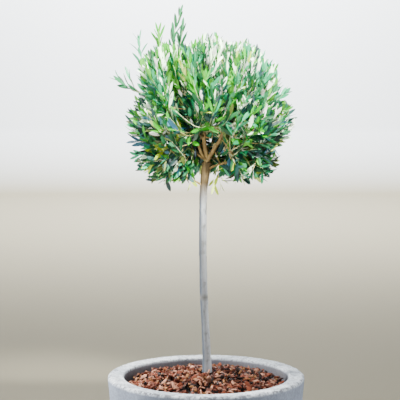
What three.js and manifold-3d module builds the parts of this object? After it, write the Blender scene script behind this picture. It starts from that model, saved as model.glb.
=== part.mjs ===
// A standard olive tree in a round concrete planter: a bare stem that forks into a loose, ball-shaped head.
// Millimetres, +Z up. The origin is the centre of the planter's flat underside, and the front is -Y.
import * as THREE from "three";
import { mergeVertices } from "three/addons/utils/BufferGeometryUtils.js";
import Module from "manifold-3d";

const wasm = await Module();
wasm.setup();

// ---- Driving dimensions -------------------------------------------------------------------

// Planter: a tapering pot whose tall collar stands proud of the body.
const RIM_RADIUS = 270;
const PLANTER_HEIGHT = 460;
const RIM_WIDTH = 44;
const RIM_OUTER_ROUND = 12;
const RIM_INNER_ROUND = 6;
const COLLAR_HEIGHT = 172;
const COLLAR_TAPER = THREE.MathUtils.degToRad(4.4);
const COLLAR_STEP = 13;
const BODY_TAPER = THREE.MathUtils.degToRad(6);
const FOOT_BEVEL = 7;
const FLOOR_THICKNESS = 36;
const PLANTER_SIDES = 44;

// What fills it: potting soil under a heaped layer of bark mulch.
const FIT_GAP = 0.4;
const SOIL_TOP = 395;
const MULCH_EDGE = 443;
const MULCH_TOP = 461;
const MULCH_PLATEAU = 75;
const MULCH_SLOPE_STEPS = 3;

// Tree: its own frame starts at the stem's foot, a little behind the planter's middle.
const FOOT = new THREE.Vector3(2, 28, MULCH_TOP + FIT_GAP);
const STEM_HEIGHT = 585;
const STEM_SIDES = 12;
const STEM_RINGS = 26;
const BOUGH_SIDES = 7;
const BOUGH_RINGS = 10;
const FORK = [0, -10, STEM_HEIGHT];

// Head: rings of foliage masses round the stem's line, each ring at its own height above the foot.
const HEAD_AXIS = { x: 9, y: -18 };
const MASS_GAP = 2;
const STEM_CLEARANCE = 4;
const CREASE_ROUND = 7;
const LOBES = 4;
const UNEVENNESS = 0.07;
const MASS_DETAIL = 3;
const SHOOT_DETAIL = 2;

// ---- Materials ----------------------------------------------------------------------------

const finish = (color, roughness) => new THREE.MeshStandardMaterial({ color, roughness, metalness: 0 });
const CONCRETE = finish(0xb9bec6, 0.85);
const SOIL = finish(0x3a2b21, 1);
const MULCH = finish(0x87583f, 0.9);
const STEM_BARK = finish(0xa9a9a6, 0.85);
const BOUGH_BARK = finish(0xa47c4d, 0.8);
const FOLIAGE = finish(0x6f9673, 0.7);

// ---- Solids -------------------------------------------------------------------------------

function toSolid(geometry) {
  const bare = geometry.clone();
  bare.deleteAttribute("normal");
  bare.deleteAttribute("uv");
  const merged = mergeVertices(bare, 1e-3);
  const triVerts = new Uint32Array(merged.index.array);
  const vertProperties = merged.attributes.position.array;
  return new wasm.Manifold(new wasm.Mesh({ numProp: 3, vertProperties, triVerts }));
}

function toGeometry(solid) {
  const mesh = solid.getMesh();
  const geometry = new THREE.BufferGeometry();
  geometry.setAttribute("position", new THREE.BufferAttribute(mesh.vertProperties, 3));
  geometry.setIndex(new THREE.BufferAttribute(mesh.triVerts, 1));
  geometry.computeVertexNormals();
  return geometry;
}

// The piece of a cut solid that is left when its crumbs are dropped.
function largestPiece(solid) {
  return solid.decompose().reduce((a, b) => (b.volume() > a.volume() ? b : a));
}

function piece(name, geometry, material) {
  const mesh = new THREE.Mesh(geometry, material);
  mesh.name = name;
  return mesh;
}

// ---- Planter ------------------------------------------------------------------------------

// Points on a quarter round from one direction to another, both in degrees.
function quarterRound(x, y, radius, from, to, steps = 3) {
  return Array.from({ length: steps + 1 }, (_, i) => {
    const angle = THREE.MathUtils.degToRad(from + ((to - from) * i) / steps);
    return [x + radius * Math.cos(angle), y + radius * Math.sin(angle)];
  });
}

const outerRadiusAt = (z) => {
  const drop = PLANTER_HEIGHT - z;
  if (drop <= COLLAR_HEIGHT) return RIM_RADIUS - drop * Math.tan(COLLAR_TAPER);
  const collarFoot = RIM_RADIUS - COLLAR_HEIGHT * Math.tan(COLLAR_TAPER);
  return collarFoot - COLLAR_STEP - (drop - COLLAR_HEIGHT) * Math.tan(BODY_TAPER);
};
// The inside runs parallel to the collar, so the wall thins from the rim down to the body.
const innerRadiusAt = (z) => RIM_RADIUS - RIM_WIDTH - (PLANTER_HEIGHT - z) * Math.tan(BODY_TAPER);

function lathe(profile) {
  const points = profile.map(([x, y]) => new THREE.Vector2(x, y));
  return new THREE.LatheGeometry(points, PLANTER_SIDES);
}

function planterProfile() {
  const stepTop = PLANTER_HEIGHT - COLLAR_HEIGHT;
  const stepLow = stepTop - COLLAR_STEP * 0.6;
  const rimOuter = quarterRound(
    RIM_RADIUS - RIM_OUTER_ROUND, PLANTER_HEIGHT - RIM_OUTER_ROUND, RIM_OUTER_ROUND, 0, 90);
  const lipRadius = RIM_RADIUS - RIM_WIDTH + RIM_INNER_ROUND;
  const rimInner = quarterRound(lipRadius, PLANTER_HEIGHT - RIM_INNER_ROUND, RIM_INNER_ROUND, 90, 180, 2);
  return [
    [0, 0],
    [outerRadiusAt(0) - FOOT_BEVEL, 0],
    [outerRadiusAt(0), FOOT_BEVEL],
    [outerRadiusAt(stepLow), stepLow],
    [outerRadiusAt(stepTop) - 3, stepTop],
    [outerRadiusAt(stepTop), stepTop + 3],
    ...rimOuter,
    ...rimInner,
    [innerRadiusAt(FLOOR_THICKNESS), FLOOR_THICKNESS],
    [0, FLOOR_THICKNESS],
  ];
}

function soilProfile() {
  const low = FLOOR_THICKNESS + FIT_GAP;
  return [
    [0, low],
    [innerRadiusAt(low) - FIT_GAP, low],
    [innerRadiusAt(SOIL_TOP) - FIT_GAP, SOIL_TOP],
    [0, SOIL_TOP],
  ];
}

// The mulch is heaped: flat round the stem, then down in a soft slope to the planter's wall.
function mulchProfile() {
  const low = SOIL_TOP + FIT_GAP;
  const edge = innerRadiusAt(MULCH_EDGE) - FIT_GAP;
  const slope = Array.from({ length: MULCH_SLOPE_STEPS + 1 }, (_, i) => {
    const share = i / MULCH_SLOPE_STEPS;
    const height = THREE.MathUtils.lerp(MULCH_EDGE, MULCH_TOP, THREE.MathUtils.smoothstep(share, 0, 1));
    return [THREE.MathUtils.lerp(edge, MULCH_PLATEAU, share), height];
  });
  return [[0, low], [innerRadiusAt(low) - FIT_GAP, low], ...slope, [0, MULCH_TOP]];
}

// ---- Stem and boughs ----------------------------------------------------------------------

// A closed tube of rings along a smooth curve, with its own radius at each share of the way.
function limb({ path, radius, sides, rings }, grow = 0) {
  const curve = new THREE.CatmullRomCurve3(path.map((p) => new THREE.Vector3(...p)), false, "centripetal");
  const { normals, binormals } = curve.computeFrenetFrames(rings, false);
  const positions = [];
  const indices = [];
  for (let i = 0; i <= rings; i++) {
    const centre = curve.getPointAt(i / rings);
    for (let k = 0; k < sides; k++) {
      const angle = (2 * Math.PI * k) / sides;
      const r = radius(i / rings, angle) + grow;
      const point = centre.clone();
      point.addScaledVector(normals[i], r * Math.cos(angle));
      point.addScaledVector(binormals[i], r * Math.sin(angle));
      positions.push(...point.toArray());
    }
  }
  const ring = (i, k) => i * sides + (k % sides);
  for (let i = 0; i < rings; i++)
    for (let k = 0; k < sides; k++) {
      indices.push(ring(i, k), ring(i, k + 1), ring(i + 1, k));
      indices.push(ring(i + 1, k), ring(i, k + 1), ring(i + 1, k + 1));
    }
  for (const [i, turned] of [[0, true], [rings, false]]) {
    const middle = positions.length / 3;
    positions.push(...curve.getPointAt(i / rings).toArray());
    for (let k = 0; k < sides; k++) {
      const rim = turned ? [ring(i, k + 1), ring(i, k)] : [ring(i, k), ring(i, k + 1)];
      indices.push(middle, ...rim);
    }
  }
  const geometry = new THREE.BufferGeometry();
  geometry.setAttribute("position", new THREE.Float32BufferAttribute(positions, 3));
  geometry.setIndex(indices);
  return geometry;
}

const taper = (thick, thin) => (share) => THREE.MathUtils.lerp(thick, thin, share);

// The stem narrows upwards, swells a little under the fork and flares in soft lobes at its foot.
function stemRadius(share, angle) {
  const flare = Math.exp(-share * 26) * (4.2 + 1.1 * Math.cos(3 * angle + 0.6));
  const swelling = 2.6 * THREE.MathUtils.smoothstep(share, 0.84, 0.97);
  return THREE.MathUtils.lerp(11.2, 9.9, share) + flare + swelling;
}

const STEM = {
  path: [
    [0, 0, 0], [0.2, 0, 14], [-4, -1, 125], [-8, -2, 200], [-11, -3, 333], [-11, -5, 432],
    [-10, -7, 498], [-6, -9, 542], FORK,
  ],
  radius: stemRadius,
  sides: STEM_SIDES,
  rings: STEM_RINGS,
};

// Each bough starts inside the stem, which trims it, and runs on until it enters a mass.
const BOUGHS = {
  bough_middle: {
    radius: taper(6.6, 3.8),
    path: [
      FORK, [-4, -8, 613], [-8, -8, 641], [-8, -8, 682], [-4, -12, 736], [-2, -16, 791], [0, -18, 850],
    ],
  },
  bough_left: {
    radius: taper(5, 2.8),
    path: [
      FORK, [-11, -16, 600], [-19, -24, 619], [-26, -31, 641], [-32, -36, 668], [-52, -42, 708],
      [-99, -46, 761],
    ],
  },
  bough_right: {
    radius: taper(5.6, 3),
    path: [
      FORK, [10, -12, 604], [22, -18, 626], [33, -23, 643], [46, -26, 672], [69, -30, 712],
      [119, -36, 761],
    ],
  },
  bough_back_left: {
    radius: taper(5, 2.8),
    path: [FORK, [-9, 2, 599], [-20, 18, 621], [-34, 36, 652], [-52, 56, 692], [-84, 80, 751]],
  },
  bough_back_right: {
    radius: taper(5, 2.8),
    path: [FORK, [9, 3, 597], [22, 18, 617], [38, 34, 645], [56, 52, 686], [89, 74, 741]],
  },
  branch_low_right: {
    radius: taper(3.6, 2.2),
    path: [
      [-3, -9, 559], [10, -16, 569], [27, -26, 578], [52, -38, 585], [79, -48, 590], [119, -60, 605],
    ],
  },
  branch_low_left: {
    radius: taper(3.2, 2),
    path: [
      [-9, -7, 518], [-24, -16, 528], [-42, -26, 537], [-71, -40, 547], [-100, -50, 563],
      [-134, -60, 583],
    ],
  },
  branch_side_left: {
    radius: taper(3.2, 1.9),
    path: [[-9, -14, 593], [-20, -26, 602], [-33, -37, 615], [-50, -48, 631], [-79, -60, 652]],
  },
};

// ---- Foliage masses -----------------------------------------------------------------------

function foliage(name, [x, y, z], size, detail = MASS_DETAIL) {
  return { name, at: new THREE.Vector3(HEAD_AXIS.x + x, HEAD_AXIS.y + y, z), size, detail };
}

// One ring of masses. Each compass word gives a bearing from the front, turning to the right.
function ringOfMasses({ tier, height, distance, shift = 0, size, bearings }) {
  return Object.entries(bearings).map(([word, bearing]) => {
    const angle = THREE.MathUtils.degToRad(bearing);
    const place = [shift + distance * Math.sin(angle), -distance * Math.cos(angle), height];
    return foliage(`foliage_${tier}_${word}`, place, size);
  });
}

// The low ring has no mass at the front, where the fork and the boughs show through the gap.
const MASSES = [
  foliage("foliage_top", [0, 0, 852], [84, 84, 74]),
  ...ringOfMasses({
    tier: "upper", height: 818, distance: 118, size: [90, 88, 92],
    bearings: { front: 0, front_right: 60, back_right: 120, back: 180, back_left: 240, front_left: 300 },
  }),
  ...ringOfMasses({
    tier: "middle", height: 704, distance: 132, size: [91, 88, 82],
    bearings: { front_right: 48, right: 100, back_right: 152, back_left: 208, left: 260, front_left: 312 },
  }),
  foliage("foliage_middle_front", [-4, -126, 752], [76, 68, 54]),
  ...ringOfMasses({
    tier: "low", height: 594, distance: 104, shift: -12, size: [90, 84, 66],
    bearings: { right: 68, back_right: 144, back_left: 216, left: 292 },
  }),
  foliage("shoot_tall", [-96, -4, 928], [28, 24, 72], SHOOT_DETAIL),
  foliage("shoot_left", [-222, -6, 800], [40, 28, 40], SHOOT_DETAIL),
];

// The open space over the fork, where the bare boughs run. The masses give way to it.
const HEART = foliage("heart", [-6, 0, 644], [66, 66, 84]);

// How far a mass would reach in one direction if it stood alone: an ellipsoid with soft lobes.
function freeReach(mass, index, direction) {
  const [a, b, c] = mass.size;
  const ellipsoid = 1 / Math.hypot(direction.x / a, direction.y / b, direction.z / c);
  let lobes = 0;
  for (let k = 1; k <= LOBES; k++) {
    const turn = index * 1.7 + k * 2.4;
    lobes += Math.sin((k + 1.3) * (direction.x * Math.cos(turn) + direction.y * Math.sin(turn)) * 2 + turn)
      * Math.cos((k + 0.8) * direction.z * 1.8 + turn * 1.3);
  }
  return ellipsoid * (1 + UNEVENNESS * lobes);
}

// The planes that part a mass from its neighbours, each set by how far the two would reach.
function partingPlanes(mass, index) {
  return [...MASSES, HEART].flatMap((other, otherIndex) => {
    if (other === mass) return [];
    const normal = other.at.clone().sub(mass.at);
    const length = normal.length();
    normal.normalize();
    const own = freeReach(mass, index, normal);
    const others = freeReach(other, otherIndex, normal.clone().negate());
    return [{ normal, distance: (length * own) / (own + others) - MASS_GAP / 2 }];
  });
}

// The nearest of the free surface and the planes, with the creases between them rounded off.
function reach(mass, index, planes, direction) {
  const limits = [freeReach(mass, index, direction)];
  for (const plane of planes) {
    const facing = direction.dot(plane.normal);
    if (facing > 0) limits.push(plane.distance / facing);
  }
  const nearest = Math.min(...limits);
  const crowding = limits.reduce((sum, limit) => sum + Math.exp((nearest - limit) / CREASE_ROUND), 0);
  return nearest - CREASE_ROUND * Math.log(crowding);
}

function massGeometry(mass, index) {
  const ball = new THREE.IcosahedronGeometry(1, mass.detail);
  const position = ball.attributes.position;
  const planes = partingPlanes(mass, index);
  for (let i = 0; i < position.count; i++) {
    const direction = new THREE.Vector3().fromBufferAttribute(position, i).normalize();
    const point = direction.clone().multiplyScalar(reach(mass, index, planes, direction)).add(mass.at);
    position.setXYZ(i, ...point.toArray());
  }
  return ball;
}

// ---- The tree -----------------------------------------------------------------------------

function buildTree() {
  const tree = new THREE.Group();
  tree.position.copy(FOOT);
  tree.add(piece("trunk", limb(STEM), STEM_BARK));

  const room = toSolid(limb(STEM, STEM_CLEARANCE));
  const masses = MASSES.map((mass, index) => toSolid(massGeometry(mass, index)));
  const massSolids = masses.map((mass) => largestPiece(mass.subtract(room)));
  massSolids.forEach((solid, i) => tree.add(piece(MASSES[i].name, toGeometry(solid), FOLIAGE)));

  // Every limb is cut by what was placed before it, and ends at the first mass that it meets.
  let taken = toSolid(limb(STEM, FIT_GAP));
  for (const [name, shape] of Object.entries(BOUGHS)) {
    const spec = { ...shape, sides: BOUGH_SIDES, rings: BOUGH_RINGS };
    const ends = massSolids.reduce((solid, mass) => solid.subtract(mass), toSolid(limb(spec)));
    const start = new THREE.Vector3(...shape.path[1]);
    const cut = ends.subtract(taken).decompose();
    const nearest = cut.reduce((a, b) => (distanceTo(b, start) < distanceTo(a, start) ? b : a));
    tree.add(piece(name, toGeometry(nearest), BOUGH_BARK));
    taken = taken.add(toSolid(limb(spec, FIT_GAP)));
  }
  return tree;
}

// Distance from a point to the nearest corner of a solid's box, which tells a bough's pieces apart.
function distanceTo(solid, point) {
  const { min, max } = solid.boundingBox();
  return new THREE.Box3(new THREE.Vector3(...min), new THREE.Vector3(...max)).distanceToPoint(point);
}

function buildPlanter() {
  const planter = new THREE.Group();
  planter.rotation.x = Math.PI / 2;
  planter.add(piece("planter", lathe(planterProfile()), CONCRETE));
  planter.add(piece("potting_soil", lathe(soilProfile()), SOIL));
  planter.add(piece("bark_mulch", lathe(mulchProfile()), MULCH));
  return planter;
}

const pottedOlive = new THREE.Group();
pottedOlive.add(buildPlanter(), buildTree());

export default pottedOlive;
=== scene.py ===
"""Looks of a potted standard olive: concrete planter, bark mulch, grey stem and a loose leafy head.

Metres, +Z up, in the row's frame. The plant's front faces -Y.
"""
import math

import bpy
import numpy as np
from mathutils import Matrix, Vector, noise


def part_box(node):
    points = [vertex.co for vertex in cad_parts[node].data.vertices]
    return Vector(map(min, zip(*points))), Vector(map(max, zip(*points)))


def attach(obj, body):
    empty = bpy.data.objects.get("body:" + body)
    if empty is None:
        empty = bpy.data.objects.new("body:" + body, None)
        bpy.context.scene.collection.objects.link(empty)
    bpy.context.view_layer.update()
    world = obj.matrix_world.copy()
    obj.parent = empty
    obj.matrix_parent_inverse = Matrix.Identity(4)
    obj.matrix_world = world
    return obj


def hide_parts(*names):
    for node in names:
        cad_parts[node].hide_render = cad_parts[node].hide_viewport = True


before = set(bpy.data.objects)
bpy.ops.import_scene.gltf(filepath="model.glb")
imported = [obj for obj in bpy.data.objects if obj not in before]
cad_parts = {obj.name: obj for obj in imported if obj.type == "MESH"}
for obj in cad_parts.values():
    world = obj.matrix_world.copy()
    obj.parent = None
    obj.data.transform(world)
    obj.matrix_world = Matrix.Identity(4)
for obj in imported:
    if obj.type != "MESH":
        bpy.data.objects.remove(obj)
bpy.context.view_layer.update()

# ---- Driving sizes ----

PLANTER_SEED = 11
CHIPS_SEED = 12
HEAD_SEED = 55

FOLIAGE_NODES = sorted(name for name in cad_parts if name.startswith("foliage_"))
SHOOT_NODES = sorted(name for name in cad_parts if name.startswith("shoot_"))
BOUGH_NODES = sorted(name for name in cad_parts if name.startswith(("bough_", "branch_")))

PLANTER_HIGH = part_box("planter")[1]
MULCH_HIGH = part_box("bark_mulch")[1]
TRUNK_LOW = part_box("trunk")[0]

# Planter, as in the CAD.
RIM_RADIUS = PLANTER_HIGH[0]
PLANTER_HEIGHT = PLANTER_HIGH[2]
RIM_WIDTH = 0.044
COLLAR_HEIGHT = 0.172
COLLAR_TAPER = math.radians(4.4)
COLLAR_STEP = 0.013
BODY_TAPER = math.radians(6.0)
FLOOR_THICKNESS = 0.036
# Small broken spots along the rim: how many, their half width, and how deep they are.
RIM_CHIPS = 58
RIM_CHIP_WIDTHS = (0.0026, 0.0090)
RIM_CHIP_DEPTHS = (0.0010, 0.0046)

# Mulch, as in the CAD: flat round the stem and lower at the planter's wall.
MULCH_EDGE = 0.443
MULCH_TOP = MULCH_HIGH[2]
MULCH_PLATEAU = 0.075
MULCH_RADIUS = MULCH_HIGH[0] - 0.004
# The chips stand proud of the bed, so at the wall it has settled this far.
SETTLED_EDGE = 0.006
# How far the bed, and the lowest chips on it, lie under the mulch's height, and how thick the chips lie.
BED_DROP = 0.010
CHIP_LAYERS = 0.012
CHIP_TRIES = 1900
CHIP_LENGTHS = (0.012, 0.029)

# Stem and boughs, from the stem's foot, as in the CAD.
FOOT = Vector((0.002, 0.028, TRUNK_LOW[2]))
FORK = (0, -0.010, 0.585)
STEM_PATH = [
    (0, 0, 0), (0.0002, 0, 0.014), (-0.004, -0.001, 0.125), (-0.008, -0.002, 0.200),
    (-0.011, -0.003, 0.333), (-0.011, -0.005, 0.432), (-0.010, -0.007, 0.498), (-0.006, -0.009, 0.542),
    FORK,
]
# The stem's radius above its flare and under its fork.
STEM_RADII = (0.0112, 0.0099)
# Every bough's radius at its foot and at its tip, and its path.
BOUGHS = {
    "middle": (0.0066, 0.0038, [
        FORK, (-0.004, -0.008, 0.613), (-0.008, -0.008, 0.641), (-0.008, -0.008, 0.682),
        (-0.004, -0.012, 0.736), (-0.002, -0.016, 0.791), (0, -0.018, 0.850)]),
    "left": (0.0050, 0.0028, [
        FORK, (-0.011, -0.016, 0.600), (-0.019, -0.024, 0.619), (-0.026, -0.031, 0.641),
        (-0.032, -0.036, 0.668), (-0.051, -0.042, 0.708), (-0.099, -0.046, 0.761)]),
    "right": (0.0056, 0.0030, [
        FORK, (0.010, -0.012, 0.604), (0.022, -0.018, 0.626), (0.033, -0.023, 0.643),
        (0.046, -0.026, 0.672), (0.069, -0.030, 0.712), (0.119, -0.036, 0.761)]),
    "back_left": (0.0050, 0.0028, [
        FORK, (-0.009, 0.002, 0.599), (-0.020, 0.018, 0.621), (-0.034, 0.036, 0.652),
        (-0.051, 0.056, 0.692), (-0.084, 0.080, 0.751)]),
    "back_right": (0.0050, 0.0028, [
        FORK, (0.009, 0.003, 0.597), (0.022, 0.018, 0.617), (0.038, 0.034, 0.645),
        (0.056, 0.052, 0.686), (0.089, 0.074, 0.741)]),
    "low_right": (0.0036, 0.0022, [
        (-0.003, -0.009, 0.559), (0.010, -0.016, 0.569), (0.027, -0.026, 0.578),
        (0.051, -0.038, 0.585), (0.079, -0.048, 0.590), (0.119, -0.060, 0.605)]),
    "low_left": (0.0032, 0.0020, [
        (-0.009, -0.007, 0.518), (-0.024, -0.016, 0.528), (-0.042, -0.026, 0.537),
        (-0.071, -0.040, 0.547), (-0.100, -0.050, 0.563), (-0.134, -0.060, 0.583)]),
    "side_left": (0.0032, 0.0019, [
        (-0.009, -0.014, 0.593), (-0.020, -0.026, 0.602), (-0.033, -0.037, 0.615),
        (-0.050, -0.048, 0.631), (-0.079, -0.060, 0.652)]),
}

# Branches part into twigs and twigs into shoots. The more shoots a limb feeds, the thicker it is.
TWIG_STEP = 0.008
BRANCH_COUNT = 34
TWIG_COUNT = 130
TWIG_TIP_RADIUS = 0.0009
PIPE_POWER = 2.9
# No twig leaves a bough nearer to the fork than this.
BARE_BOUGH = 0.055

# Shoots: how many spots are tried for their tips, between which depths of the masses, and how far apart.
OUTER_SHOOTS = (26000, (0.46, 0.98), 0.025)
INNER_SHOOTS = (6000, (0.00, 0.46), 0.034)
OUTER_LENGTHS = (0.065, 0.115)
INNER_LENGTHS = (0.050, 0.080)
# How softly the clefts between the masses are filled in.
CLEFT_FILL = 5.0
# Short shoots behind the fork: how many are tried, how far apart and how long, and from the stem's foot
# where they are.
HEART_TRIES = 500
HEART_SPACING = 0.030
HEART_LENGTHS = (0.030, 0.045)
HEART_CENTRE = (0.005, 0.075, 0.655)
HEART_HALF = (0.125, 0.060, 0.105)

# Leaves: their length, their width as a share of it, and how many of them are missing.
LEAF_LENGTHS = (0.036, 0.052)
LEAF_WIDTHS = (0.25, 0.33)
MISSING_LEAVES = 0.06
# No leaf reaches further out of the masses than this, at the head's foot and at its top.
LEAF_DEPTHS = (1.14, 1.18)
LOWEST_LEAF = FOOT.z + 0.530
# Openings at the front, from the stem's foot: centre and half size.
GAPS = [
    (np.array([0.014, -0.120, 0.612]), np.array([0.050, 0.145, 0.072])),
    (np.array([-0.060, -0.190, 0.735]), np.array([0.040, 0.110, 0.056])),
]

# The head's right, front and back shoulders: which way each slope faces, and how far from the stem's foot.
SHOULDERS = [
    (np.array([0.753, 0.0, 0.658]), 0.698),
    (np.array([0.0, -0.753, 0.658]), 0.700),
    (np.array([0.0, 0.753, 0.658]), 0.674),
]

# ---- Materials ----


def rgb(red, green, blue):
    """A linear colour from one given as 0 to 255 on a screen."""
    def linear(value):
        share = value / 255
        return share / 12.92 if share <= 0.04045 else ((share + 0.055) / 1.055) ** 2.4
    return (linear(red), linear(green), linear(blue), 1.0)


class Shader:
    """A Principled material with a few helpers that wire procedural nodes."""

    def __init__(self, name, colour, roughness, specular=0.5):
        self.material = bpy.data.materials.new(name)
        self.material.use_nodes = True
        self.nodes = self.material.node_tree.nodes
        self.links = self.material.node_tree.links
        self.surface = self.nodes["Principled BSDF"]
        self.surface.inputs["Base Color"].default_value = colour
        self.surface.inputs["Roughness"].default_value = roughness
        self.surface.inputs["Specular IOR Level"].default_value = specular

    def node(self, kind, inputs):
        """A new node whose inputs are numbers or come from other nodes."""
        made = self.nodes.new(f"ShaderNode{kind}")
        for name, value in inputs.items():
            if isinstance(value, bpy.types.NodeSocket):
                self.links.new(value, made.inputs[name])
            else:
                made.inputs[name].default_value = value
        return made

    def place(self, scale=(1, 1, 1)):
        """The place on the object, in metres times the scale."""
        where = self.node("TexCoord", {}).outputs["Object"]
        return self.node("Mapping", {"Vector": where, "Scale": scale}).outputs["Vector"]

    def noise(self, scale, detail=4.0, roughness=0.5, stretch=(1, 1, 1)):
        inputs = {"Vector": self.place(stretch), "Scale": scale, "Detail": detail, "Roughness": roughness}
        return self.node("TexNoise", inputs).outputs["Fac"]

    def cells(self, scale):
        return self.node("TexVoronoi", {"Vector": self.place(), "Scale": scale}).outputs["Distance"]

    def height(self, low, high):
        """0 at one height of the object and 1 at another."""
        split = self.node("SeparateXYZ", {"Vector": self.place()})
        return self.spread(split.outputs["Z"], low, high)

    def radius(self):
        """The distance from the object's upright axis."""
        length = self.node("VectorMath", {"Vector": self.place((1, 1, 0))})
        length.operation = "LENGTH"
        return length.outputs["Value"]

    def painted_shade_left(self, low, high):
        """A mask for painted shade: 0 where the surface faces the front or the right, and 1 where it faces
        -X.
        """
        facing = self.node("TexCoord", {}).outputs["Normal"]
        split = self.node("SeparateXYZ", {"Vector": facing})
        return self.spread(split.outputs["X"], -low, -high)

    def spread(self, value, low, high, to_low=0.0, to_high=1.0):
        """The value's range from low to high, laid out from to_low to to_high."""
        ends = {"From Min": low, "From Max": high, "To Min": to_low, "To Max": to_high}
        return self.node("MapRange", {"Value": value, **ends}).outputs["Result"]

    def times(self, first, second):
        node = self.nodes.new("ShaderNodeMath")
        node.operation = "MULTIPLY"
        self.links.new(first, node.inputs[0])
        self.links.new(second, node.inputs[1])
        return node.outputs["Value"]

    def blend(self, factor, first, second):
        """The first colour where the factor is 0 and the second where it is 1."""
        node = self.nodes.new("ShaderNodeMix")
        node.data_type = "RGBA"
        self.links.new(factor, node.inputs["Factor"])
        for socket, colour in ((node.inputs["A"], first), (node.inputs["B"], second)):
            if isinstance(colour, tuple):
                socket.default_value = colour
            else:
                self.links.new(colour, socket)
        return node.outputs["Result"]

    def colour(self, value):
        self.links.new(value, self.surface.inputs["Base Color"])

    def roughness(self, value):
        self.links.new(value, self.surface.inputs["Roughness"])

    def bump(self, value, strength, distance, under=None):
        """Raises the surface by the value, on top of another bump."""
        inputs = {"Height": value, "Strength": strength, "Distance": distance}
        if under is not None:
            inputs["Normal"] = under
        raised = self.node("Bump", inputs).outputs["Normal"]
        self.links.new(raised, self.surface.inputs["Normal"])
        return raised


def concrete_material():
    """Mottled cast concrete: lighter on top of the rim with painted light, worn at its edge, and on the
    inside stained and darkened with painted shade.
    """
    shader = Shader("cast_concrete", rgb(108, 112, 121), 0.82, specular=0.35)
    radius = shader.radius()
    clouds = shader.spread(shader.noise(7, 5, 0.62), 0.32, 0.70)
    streaks = shader.spread(shader.noise(20, 4, 0.6, stretch=(1, 1, 0.18)), 0.40, 0.72)
    grain = shader.spread(shader.noise(170, 3, 0.6), 0.36, 0.66)
    pits = shader.spread(shader.cells(95), 0.035, 0.11)

    # Walls.
    outside = shader.spread(radius, RIM_RADIUS - RIM_WIDTH - 0.001, RIM_RADIUS - RIM_WIDTH + 0.003)
    wall = shader.blend(clouds, rgb(106, 113, 128), rgb(138, 146, 160))
    # Inside, above the mulch: partly a stain from the damp mulch, partly painted shade in the planter's
    # hollow.
    stain_and_shade = shader.blend(clouds, rgb(78, 74, 76), rgb(110, 105, 108))
    inside = shader.blend(outside, stain_and_shade, wall)
    sides = shader.blend(shader.height(MULCH_EDGE - 0.05, MULCH_EDGE - 0.02), wall, inside)

    # Top of the rim: lighter than the walls, as painted light from above, with real dirt, specks and a
    # worn edge.
    on_top = shader.height(PLANTER_HEIGHT - 0.010, PLANTER_HEIGHT - 0.002)
    at_edge = shader.spread(radius, RIM_RADIUS - 0.014, RIM_RADIUS - 0.004)
    worn = shader.spread(shader.noise(75, 4, 0.65), 0.48, 0.58, 0.0, 0.85)
    dirt = shader.spread(shader.noise(34, 6, 0.7), 0.50, 0.62, 0.0, 0.62)
    specks = shader.spread(shader.noise(130, 3, 0.6), 0.55, 0.63, 0.0, 0.80)
    # Painted light: the rim's top is made near white where the light from above falls on it.
    lit_rim_top = shader.blend(clouds, rgb(192, 200, 208), rgb(250, 254, 255))
    lit_rim_top = shader.blend(dirt, lit_rim_top, rgb(128, 132, 140))
    lit_rim_top = shader.blend(specks, lit_rim_top, rgb(98, 98, 102))
    lit_rim_top = shader.blend(shader.times(at_edge, worn), lit_rim_top, rgb(92, 90, 92))

    # All over.
    base = shader.blend(on_top, sides, lit_rim_top)
    streaked = shader.blend(shader.spread(streaks, 0, 1, 0.0, 0.40), base, rgb(96, 100, 112))
    grained = shader.blend(shader.spread(grain, 0, 1, 0.30, 0.0), streaked, rgb(66, 69, 78))
    # The pits are darkened with painted shade in their hollows.
    shader.colour(shader.blend(shader.spread(pits, 0, 1, 0.60, 0.0), grained, rgb(46, 48, 54)))
    shader.roughness(shader.spread(grain, 0, 1, 0.92, 0.74))
    fine = shader.bump(grain, 0.35, 0.0007)
    shader.bump(pits, 0.5, 0.0012, under=fine)
    return shader.material


# The darker ring where an old side shoot was cut: height above the floor, and half width.
SCAR_HEIGHT = 0.672
SCAR_REACH = 0.012


def stem_material():
    """Pale grey bark, streaked and spotted, with painted shade on its left side, and tan towards the fork.
    """
    shader = Shader("stem_bark", rgb(136, 137, 137), 0.8, specular=0.3)
    streaks = shader.spread(shader.noise(55, 6, 0.65, stretch=(1, 1, 0.14)), 0.30, 0.72)
    spots = shader.spread(shader.noise(60, 4, 0.6, stretch=(1, 1, 0.6)), 0.52, 0.70)
    pale = shader.blend(streaks, rgb(112, 113, 113), rgb(172, 175, 178))
    # Painted shade: the bark is darkened where it faces left.
    grey = shader.blend(shader.painted_shade_left(0.05, 0.72), pale, rgb(60, 68, 78))
    scarred = shader.blend(shader.height(SCAR_HEIGHT - SCAR_REACH, SCAR_HEIGHT), grey, rgb(98, 96, 93))
    grey = shader.blend(shader.height(SCAR_HEIGHT, SCAR_HEIGHT + SCAR_REACH), scarred, grey)
    spotted = shader.blend(shader.spread(spots, 0, 1, 0.0, 0.7), grey, rgb(66, 62, 56))
    tan = shader.blend(streaks, rgb(52, 42, 24), rgb(104, 86, 54))
    shader.colour(shader.blend(shader.height(0.925, 0.990), spotted, tan))
    fine = shader.bump(shader.noise(420, 4, 0.6, stretch=(1, 1, 0.25)), 0.5, 0.0005)
    shader.bump(streaks, 0.5, 0.0009, under=fine)
    return shader.material


def bough_material():
    shader = Shader("bough_bark", rgb(110, 82, 54), 0.75, specular=0.35)
    streaks = shader.spread(shader.noise(90, 5, 0.6), 0.32, 0.70)
    shader.colour(shader.blend(streaks, rgb(88, 70, 38), rgb(158, 132, 80)))
    shader.bump(streaks, 0.45, 0.0006)
    return shader.material


def twig_material(name, colour):
    shader = Shader(name, colour, 0.65, specular=0.4)
    shader.bump(shader.noise(600, 3, 0.6), 0.3, 0.0003)
    return shader.material


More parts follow.
